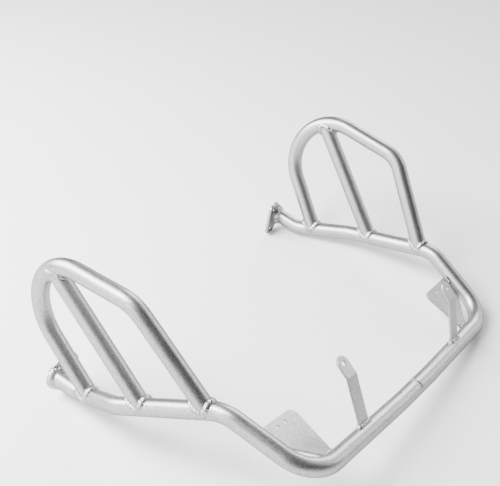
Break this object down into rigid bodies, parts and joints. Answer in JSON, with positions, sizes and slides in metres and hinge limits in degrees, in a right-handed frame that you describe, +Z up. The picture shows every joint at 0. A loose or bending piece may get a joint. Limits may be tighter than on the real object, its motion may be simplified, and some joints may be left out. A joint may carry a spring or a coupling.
{
  "type": "motorcycle crash bars",
  "caption": "Lower engine crash bars: bent tube halves joined at the front, with hoops and struts beside the cylinders, rear flanges, side plates and front straps.",
  "frame": {"origin": "on the ground under the middle of the plan", "axes": "+X to the rider's right, +Y to the front of the motorcycle, +Z up from the ground on which the part rests"},
  "size_m": [0.7254, 0.521, 0.2907],
  "materials": {
    "powder_coat": "silver powder coat with a fine metallic grain",
    "coated_weld": "weld beads under the same silver coat",
    "bare_steel": "plain steel sleeve inside the joint"
  },
  "bodies": {
    "root": {"right_main_tube": "powder_coat", "left_main_tube": "powder_coat", "right_hoop_tube": "powder_coat", "left_hoop_tube": "powder_coat", "right_hoop_strut": "powder_coat", "left_hoop_strut": "powder_coat", "right_rear_flange": "powder_coat", "left_rear_flange": "powder_coat", "right_side_plate": "powder_coat", "left_side_plate": "powder_coat", "right_front_strap": "powder_coat", "left_front_strap": "powder_coat", "right_flange_weld": "coated_weld", "left_flange_weld": "coated_weld", "right_hoop_front_weld": "coated_weld", "left_hoop_front_weld": "coated_weld", "right_hoop_rear_weld": "coated_weld", "left_hoop_rear_weld": "coated_weld", "right_strut_lower_weld": "coated_weld", "left_strut_lower_weld": "coated_weld", "right_strut_upper_weld": "coated_weld", "left_strut_upper_weld": "coated_weld", "right_plate_welds": "coated_weld", "left_plate_welds": "coated_weld", "right_strap_weld": "coated_weld", "left_strap_weld": "coated_weld", "centre_spigot": "bare_steel"}
  },
  "joints": []
}
